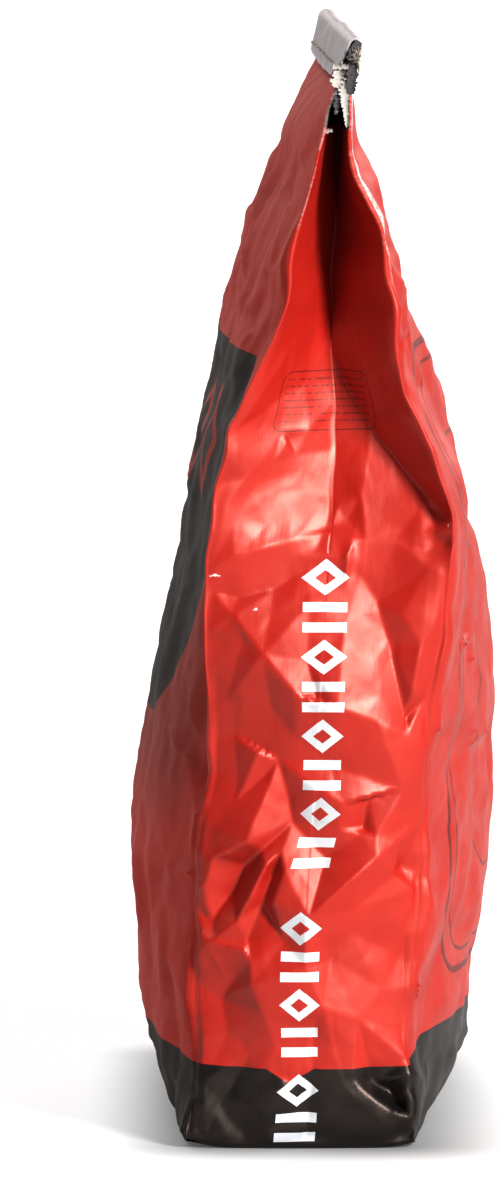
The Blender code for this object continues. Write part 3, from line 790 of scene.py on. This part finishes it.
    # Fine crinkles of handled paper over its fibre, and streaks the way that the paper machine ran
    crinkle = add("TexVoronoi", {"Vector": place, "Scale": 1 / (look["crinkleSize"] * mm), "Randomness": 1.0})
    soft = add("TexNoise", {"Vector": place, "Scale": 60.0, "Detail": 2.0, "Roughness": 0.5})
    fibre = add("TexNoise", {"Vector": place, "Scale": 1 / (look["fibreSize"] * mm), "Detail": 2.0})
    machineWay = add("VectorMath.MULTIPLY", place, (900.0, 45.0, 1.0))
    streak = add("TexNoise", {"Vector": machineWay, "Scale": 1.0, "Detail": 2.0})
    relief = add("Math.MULTIPLY", crinkle, 0.16)
    for texture, share in ((soft, 0.4), (fibre, 0.07), (streak, 0.09)):
        relief = add("Math.MULTIPLY_ADD", texture, share, relief)
    bump = add("Bump", {"Height": relief, "Distance": 0.0011, "Strength": 0.6})
    linkTo(shader, Base_Color=ink, Roughness=gloss, Normal=bump)
    return material


print("stage: sack")
sackSheet = makeSackSheet(printedKraft())
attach(sackSheet, "root")
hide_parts("paper_sack")

# The seam. Its places have X along it, Y out of the stack's back and Z up the stack, in mm.
seamSettings = {
    "belowFold": 18,
    "stitch": 12.5,
    "length": 394,
    "thread": 1.1,
    "plyTwist": 2.6,        # mm along the thread for a third of a turn of its plies
    "loopHalf": 1.25,       # half the width of a chain loop on the back
    # one side of a loop, as (share of a stitch, share of its half width, mm proud of the paper)
    "loop": ((0, 0, -0.7), (0.14, 0.75, 0.1), (0.45, 1.0, 0.15), (0.8, 0.9, 0.35), (1.05, 0.35, 0.9), (1.12, 0, 1.0)),
    # the two loose ends, as (out past the paper, Y, Z): the far one hangs, the near one stands up beside the fold
    "farEnd": ((0, 3.2, 0), (3.5, 3, -3), (4.3, 4, -11), (5, 5, -20)),
    "nearEnd": ((0, 2.6, 0.5), (1.8, 2.2, 4), (2.2, 0.6, 9), (2.2, -1.5, 14)),
    "frayed": 40,           # fibres in the frayed end
    "seed": 11,
}
foldStart = sheetRows()[-(sheetMesh["bendSteps"] + 1 + round(sackShape["flap"] / sheetMesh["stackStep"]))]


def seamPlace(x, y, z):
    _, startY, startZ, tilt, _ = foldStart
    z -= seamSettings["belowFold"]
    y, z = startY + y * math.cos(tilt) + z * math.sin(tilt), startZ - y * math.sin(tilt) + z * math.cos(tilt)
    turn = math.radians(float(smoothBetween(sackShape["twist"], sackShape["flat"])))
    return Vector((x * math.cos(turn) - y * math.sin(turn), x * math.sin(turn) + y * math.cos(turn), z))


def tube(points, radius, sides=9, lobes=3, lobeDepth=0.16):  # a plied thread through the points
    points = np.array(points, float)
    ahead = np.gradient(points, axis=0)
    ahead /= np.linalg.norm(ahead, axis=1, keepdims=True)
    travelled = np.concatenate(([0], np.cumsum(np.linalg.norm(np.diff(points, axis=0), axis=1))))
    radius = np.broadcast_to(radius, len(points))
    side = np.cross(ahead[0], (0.31, 0.17, 0.93))
    vertices, faces = [], []
    for i, point in enumerate(points):
        side = side - ahead[i] * (side @ ahead[i])
        side /= np.linalg.norm(side)
        other = np.cross(ahead[i], side)
        for k in range(sides):
            angle = 2 * math.pi * k / sides
            lobe = 1 + lobeDepth * math.cos(lobes * angle - 2 * math.pi * travelled[i] / seamSettings["plyTwist"] / 3)
            vertices.append(point + radius[i] * lobe * (math.cos(angle) * side + math.sin(angle) * other))
        if i:
            a, b = (i - 1) * sides, i * sides
            faces.extend((a + k, a + (k + 1) % sides, b + (k + 1) % sides, b + k) for k in range(sides))
    faces.append(tuple(reversed(range(sides))))
    faces.append(tuple(range(len(vertices) - sides, len(vertices))))
    return vertices, faces


def gathered(shapes):  # several (vertices, faces) as one
    vertices, faces = [], []
    for more, moreFaces in shapes:
        start = len(vertices)
        vertices.extend(more)
        faces.extend(tuple(start + k for k in face) for face in moreFaces)
    return vertices, faces


def smoothPath(points, step, least=3):  # even steps along (x, y, z) points, with any further values carried along
    points = np.array(points, float)
    travelled = np.concatenate(([0], np.cumsum(np.linalg.norm(np.diff(points[:, :3], axis=0), axis=1))))
    at = np.linspace(0, travelled[-1], max(least, round(travelled[-1] / step)))
    return np.stack([smoothBetween(np.stack((travelled, values), axis=1), at) for values in points.T], axis=1)


# Spun cotton sewing thread: three plies, matt, with a soft fuzz
def spunCotton():
    material, shader, add = newMaterial("spunCottonThread", Roughness=0.92, IOR=1.53, Specular_IOR_Level=0.3,
                                        Sheen_Weight=0.35, Sheen_Roughness=0.5)
    place = add("TexCoord", out=3)
    slub = add("TexNoise", {"Vector": place, "Scale": 260.0, "Detail": 3.0})
    fuzz = add("TexNoise", {"Vector": place, "Scale": 3000.0, "Detail": 2.0})
    tone = add("MapRange", slub, 0.35, 0.65, 0.0, 1.0)
    colour = add("Mix", {0: tone, 6: toLinear("#75695A"), 7: toLinear("#B3AC9F")}, out=2, data_type="RGBA")
    bump = add("Bump", {"Height": fuzz, "Distance": 0.0001, "Strength": 0.7})
    linkTo(shader, Base_Color=colour, Normal=bump)
    return material


def makeStitches(material, paper):
    look = seamSettings
    draw = random.Random(look["seed"])
    stitch, radius = look["stitch"], look["thread"] / 2
    count = int((look["length"] - stitch) / stitch)
    holes = [stitch * (i - (count - 1) / 2) for i in range(count)]
    mesh = paper.data
    tree = BVHTree.FromPolygons([v.co / mm for v in mesh.vertices], [tuple(p.vertices) for p in mesh.polygons])

    def onPaper(x, side, z=0.0, proud=0.0):  # a place on the paper's outer face, on the front (-1) or the back (1)
        start = seamPlace(x, side * 40, z)
        towards = (seamPlace(x, 0, z) - start).normalized()
        hit = tree.ray_cast(start, towards, 60)[0]
        spot = hit if hit is not None else seamPlace(x, side * 5.1 - 2.9, z)
        return spot - towards * (radius + proud)

    front = []
    for x in holes:
        front.append(onPaper(x, -1, 0, -0.75))
        if x != holes[-1]:
            front.extend(onPaper(x + stitch * t, -1, draw.uniform(-0.15, 0.15), 0.12 * math.sin(math.pi * t))
                         for t in (0.2, 0.5, 0.8))
    shapes = [tube(smoothPath(front, 0.9), radius)]
    for x in holes[:-1]:  # each loop runs on through the next one
        loop = [onPaper(x + stitch * t, 1, side * wide * look["loopHalf"], proud)
                for side, half in ((1, look["loop"]), (-1, look["loop"][-2::-1])) for t, wide, proud in half]
        shapes.append(tube(smoothPath(loop, 1.0), radius * 0.9, sides=7))
    for x in holes:  # the pass through the paper
        shapes.append(tube([onPaper(x, -1, 0, -0.75), onPaper(x, 1, 0, -0.7)], radius * 0.9, sides=7))
    edge = look["length"] / 2 + 1.5
    for side, name, step in ((-1, "farEnd", 0.9), (1, "nearEnd", 0.8)):
        end = [onPaper(side * holes[-1], 1, 0, 0.4)] + [seamPlace(side * (edge + x), y, z) for x, y, z in look[name]]
        shapes.append(tube(smoothPath(end, step), radius))
    root = np.array(end[-1])
    for _ in range(look["frayed"]):
        reach = draw.uniform(2, 5.5)
        aim = np.array((draw.uniform(-0.1, 0.35), draw.uniform(-1.0, 0.3), draw.uniform(-0.2, 1.0)))
        aim *= reach / np.linalg.norm(aim)
        bend = np.array([draw.uniform(-1, 1) for _ in range(3)]) * reach * 0.3
        begin = root + np.array((0, draw.uniform(-0.3, 0.8), draw.uniform(-6, 0.3)))
        path = [begin + aim * a + bend * b for a, b in ((0, 0), (0.35, 0.5), (0.7, 1), (1, 0.4))]
        path = smoothPath(path, 1.3)
        shapes.append(tube(path, np.linspace(0.42, 0.16, len(path)), sides=4, lobes=0, lobeDepth=0))
    vertices, faces = gathered(shapes)
    print("stage: stitches", len(faces), "faces")
    return newPiece("closingStitches", np.array(vertices) * mm, faces, material)


print("stage: seam")
closingStitches = makeStitches(spunCotton(), sackSheet)
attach(closingStitches, "root")
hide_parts("closing_thread")

# The torn near end of the folded mouth: strips of the inner plies, as the share of grey ink on each and its
# (x, y, z, half width) places from its root, in mm
tornSettings = {
    "strips": (
        (0.0, ((196, 17.5, 682.2, 1.6), (197, 22, 681.6, 1.5), (198, 27.5, 682.2, 1.2))),
        (0.25, ((197, 20.8, 679.5, 2.4), (198, 20.6, 675.5, 3.2), (199, 19.6, 671.5, 4.0), (199.5, 19.0, 669, 2.2))),
        (0.0, ((197, 24.2, 672, 3.0), (198, 24.6, 664, 2.6), (198.5, 25.4, 655, 1.8), (198, 26.2, 644, 1.0))),
        (0.8, ((196, 29.8, 688, 2.2), (197.5, 29.8, 680, 3.0), (198.5, 29.4, 672, 3.0), (198, 28.6, 665, 1.8))),
        (0.55, ((195.5, 24.5, 685, 2.6), (197, 25.2, 679, 2.8), (198, 25.8, 673, 2.0))),
        (1.0, ((196.5, 33.6, 697.5, 2.2), (198, 31.8, 694, 2.8), (199, 29.6, 690, 3.0), (198.5, 27.6, 686, 2.4))),
        (0.0, ((195, 12.2, 641.2, 1.0), (196, 14.8, 641.8, 1.5), (196.5, 17.4, 642.2, 1.2))),
        (0.7, ((196, 21.0, 667, 2.4), (197, 20.2, 660, 2.2), (197, 19.4, 652, 1.4))),
    ),
    "thickness": 0.35,
    "rowStep": 0.7,
    "across": 8,
    "ragged": 0.42,
    "curl": 1.2,
    "seed": 5,
}


# Torn kraft plies: bleached fibre, matt and fluffy at the tear, with the print's grey on some of them
def tornKraft():
    material, shader, add = newMaterial("tornKraftPly", Roughness=0.9, IOR=1.5, Specular_IOR_Level=0.3)
    place = add("TexCoord", out=3)
    inked = add("Attribute", attribute_name="inked", out=2)
    fibre = add("TexNoise", {"Vector": place, "Scale": 900.0, "Detail": 3.0, "Roughness": 0.7})
    blotch = add("TexNoise", {"Vector": place, "Scale": 210.0, "Detail": 2.0})
    edge = add("Math.ADD", inked, add("Math.SUBTRACT", blotch, 0.5))
    white, grey = (add("Mix", {0: fibre, 6: toLinear(dark), 7: toLinear(pale)}, out=2, data_type="RGBA")
                   for dark, pale in (("#8E8983", "#C6C1BB"), ("#1E1C1D", "#6E696B")))
    share = add("MapRange", edge, 0.45, 0.6, 0.0, 1.0)
    colour = add("Mix", {0: share, 6: white, 7: grey}, out=2, data_type="RGBA")
    bump = add("Bump", {"Height": fibre, "Distance": 0.0003, "Strength": 0.8})
    linkTo(shader, Base_Color=colour, Normal=bump)
    return material


def raggedStrip(points, draw):
    look = tornSettings
    line = smoothPath(points, look["rowStep"], 5)
    ahead = np.gradient(line[:, 1:3], axis=0)
    ahead /= np.linalg.norm(ahead, axis=1, keepdims=True)
    rows, columns = len(line), look["across"] + 1
    layers = {-0.5: [], 0.5: []}  # the two faces of the strip, by the share of its thickness
    for i, (x, y, z, half) in enumerate(line):
        spread = [half * (1 + draw.uniform(-1, 1) * look["ragged"]) for _ in (0, 1)]
        shrink = 1 - 0.45 * max(0, i - rows + 3) / 3
        flutter = draw.uniform(-0.25, 0.25)
        for k in range(columns):
            u = 2 * k / look["across"] - 1
            wide = spread[0 if u < 0 else 1] * u * shrink
            curl = look["curl"] * u * u * (0.3 + 0.7 * i / (rows - 1)) + flutter * u
            for lift, layer in layers.items():
                layer.append((x + curl + lift * look["thickness"], y + ahead[i][1] * wide, z - ahead[i][0] * wide))
    size = rows * columns
    faces = []
    for a in (i * columns + k for i in range(rows - 1) for k in range(columns - 1)):
        faces.append((a, a + 1, a + columns + 1, a + columns))
        faces.append((size + a, size + a + columns, size + a + columns + 1, size + a + 1))
    rim = [*range(columns), *range(2 * columns - 1, size, columns), *range(size - 2, size - columns - 1, -1),
           *range(size - 2 * columns, 0, -columns)]
    faces.extend((a, b, size + b, size + a) for a, b in zip(rim, rim[1:] + rim[:1]))
    return layers[-0.5] + layers[0.5], faces


def makeTornPlies(material):
    draw = random.Random(tornSettings["seed"])
    shapes, inked = [], []
    for share, points in tornSettings["strips"]:
        shapes.append(raggedStrip(points, draw))
        inked.extend([share] * len(shapes[-1][0]))
    vertices, faces = gathered(shapes)
    plies = newPiece("tornPlies", np.array(vertices) * mm, faces, material)
    plies.data.attributes.new("inked", "FLOAT", "POINT").data.foreach_set("value", inked)
    return plies


tornPlies = makeTornPlies(tornKraft())
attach(tornPlies, "root")
print("stage: torn plies")


# Lumpwood charcoal: black carbon that keeps the wood's rings, with satin break faces, shrinkage cracks and a little ash
charcoalLook = {
    "char": "#151516",
    "sheen": "#2C2D30",
    "ash": "#6E6A66",
    "ringWidth": 2.4,       # mm
    "crackApart": 17,       # mm
}


def lumpwoodCharcoal():
    look = charcoalLook
    material, shader, add = newMaterial("lumpwoodCharcoal", IOR=1.6, Specular_IOR_Level=0.55)
    place = add("TexCoord", out=3)
    rings = add("TexWave", {"Vector": place, "Scale": 2 * math.pi / (20 * look["ringWidth"] * mm), "Distortion": 5.0,
                            "Detail": 2.0, "Detail Scale": 1.2}, out=1)
    cracks = add("TexVoronoi", {"Vector": place, "Scale": 1 / (look["crackApart"] * mm), "Randomness": 0.9},
                 feature="DISTANCE_TO_EDGE")
    cracks = add("MapRange", cracks, 0.0, 0.05, 0.0, 1.0)
    dust = add("TexNoise", {"Vector": place, "Scale": 45.0, "Detail": 5.0, "Roughness": 0.65})
    grain = add("TexNoise", {"Vector": place, "Scale": 700.0, "Detail": 3.0})
    ash = add("MapRange", dust, 0.58, 0.75, 0.0, 0.55)
    colour = toLinear(look["char"])
    for share, name in ((rings, "sheen"), (ash, "ash")):
        colour = add("Mix", {0: share, 6: colour, 7: toLinear(look[name])}, out=2, data_type="RGBA")
    gloss = add("MapRange", dust, 0.35, 0.65, 0.38, 0.85)
    relief = add("Math.MULTIPLY_ADD", grain, 0.15, add("Math.MULTIPLY_ADD", rings, 0.35, cracks))
    bump = add("Bump", {"Height": relief, "Distance": 0.0012, "Strength": 0.8})
    linkTo(shader, Base_Color=colour, Roughness=gloss, Normal=bump)
    return material


charcoal = lumpwoodCharcoal()
lumps = [bpy.data.objects[name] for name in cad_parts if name.startswith("charcoal_lump")]
for lump in lumps:
    for slot in lump.material_slots:
        slot.material = charcoal
print("stage: charcoal", len(lumps), "lumps")

# Studio: a pale floor, one key light from the camera's right and a dim white room
studio = {
    "floor": "#838383",
    "floorHalf": 45,
    "floorGlow": 0.75,      # the floor glows, for a white ground; the soft shadow round the sack is painted by dimming this glow
    "glowInPaintedShadow": 0.14,     # the glow right beside the sack: a painted shadow, darkest at the sack's foot
    # how far out the painted shadow fades into the full glow, in m, and the half sizes of the sack's rectangle that it
    # surrounds
    "paintedShadowReach": 0.085,
    "footHalf": (0.185, 0.06, 0.0),
    "room": 0.04,
    # (azimuth, elevation, spread, strength)
    "lights": {
        "key": (40, 28, 15, 6.7),
        "fill": (-112, 60, 60, 1.6),
        "rimLeft": (-154, 26, 40, 1.3),
        "rimRight": (152, 24, 40, 1.0),
    },
    "contrast": 0.72,
    "cameraPlace": (6.315, -0.034, 0.996),
    "cameraPitch": 6.05,
    "lens": 294.4,
}


# Painted studio board: matt, with the faint stipple that a roller leaves; it glows evenly, except for a painted shadow
# where its glow is dimmed beside the sack
def paintedBoard():
    material, shader, add = newMaterial("paintedBoard", Base_Color=toLinear(studio["floor"]), Roughness=0.9,
                                        Emission_Color=(1.0, 1.0, 1.0, 1.0))
    bump = add("Bump", {"Height": add("TexNoise", {"Scale": 60.0, "Detail": 2.0}), "Distance": 0.0001, "Strength": 0.2})
    apart = add("VectorMath.ABSOLUTE", add("TexCoord", out=3))  # distance from the sack's rectangle on the floor
    apart = add("VectorMath.SUBTRACT", apart, studio["footHalf"])
    apart = add("VectorMath.LENGTH", add("VectorMath.MAXIMUM", apart, (0.0, 0.0, 0.0)), out=1)
    # painted shadow on the floor: the glow is dimmed within 85 mm of the sack's rectangle
    glow = add("MapRange", apart, 0.0, studio["paintedShadowReach"], studio["glowInPaintedShadow"], studio["floorGlow"],
               interpolation_type="SMOOTHSTEP")
    linkTo(shader, Normal=bump, Emission_Strength=glow)
    return material


def makeStudio():
    scene = bpy.context.scene
    side = studio["floorHalf"]
    floor = newPiece("floor", [(-side, -side, 0), (side, -side, 0), (side, side, 0), (-side, side, 0)], [(0, 1, 2, 3)],
                     paintedBoard(), smooth=False)
    floor.location.z = -0.0002

    scene.world = bpy.data.worlds.new("room")
    scene.world.use_nodes = True
    background = scene.world.node_tree.nodes["Background"]
    background.inputs[0].default_value = (1, 1, 1, 1)
    background.inputs[1].default_value = studio["room"]

    for name, (azimuth, elevation, spread, strength) in studio["lights"].items():
        light = bpy.data.lights.new(name + "Light", "SUN")
        light.angle = math.radians(spread)
        light.energy = strength
        lamp = bpy.data.objects.new(name + "Light", light)
        scene.collection.objects.link(lamp)
        azimuth, elevation = math.radians(azimuth), math.radians(elevation)
        level = math.cos(elevation)
        towards = Vector((math.cos(azimuth) * level, math.sin(azimuth) * level, math.sin(elevation)))
        lamp.location = towards * 3
        lamp.rotation_euler = towards.to_track_quat("Z", "Y").to_euler()

    camera = bpy.data.cameras.new("camera")
    camera.lens = studio["lens"]
    camera.sensor_width = 36
    view = bpy.data.objects.new("camera", camera)
    scene.collection.objects.link(view)
    view.location = studio["cameraPlace"]
    pitch = math.radians(studio["cameraPitch"])
    view.rotation_euler = Vector((-math.cos(pitch), 0, -math.sin(pitch))).to_track_quat("-Z", "Y").to_euler()
    scene.camera = view
    scene.view_settings.view_transform = "Standard"
    scene.view_settings.gamma = studio["contrast"]


makeStudio()
print("stage: studio")
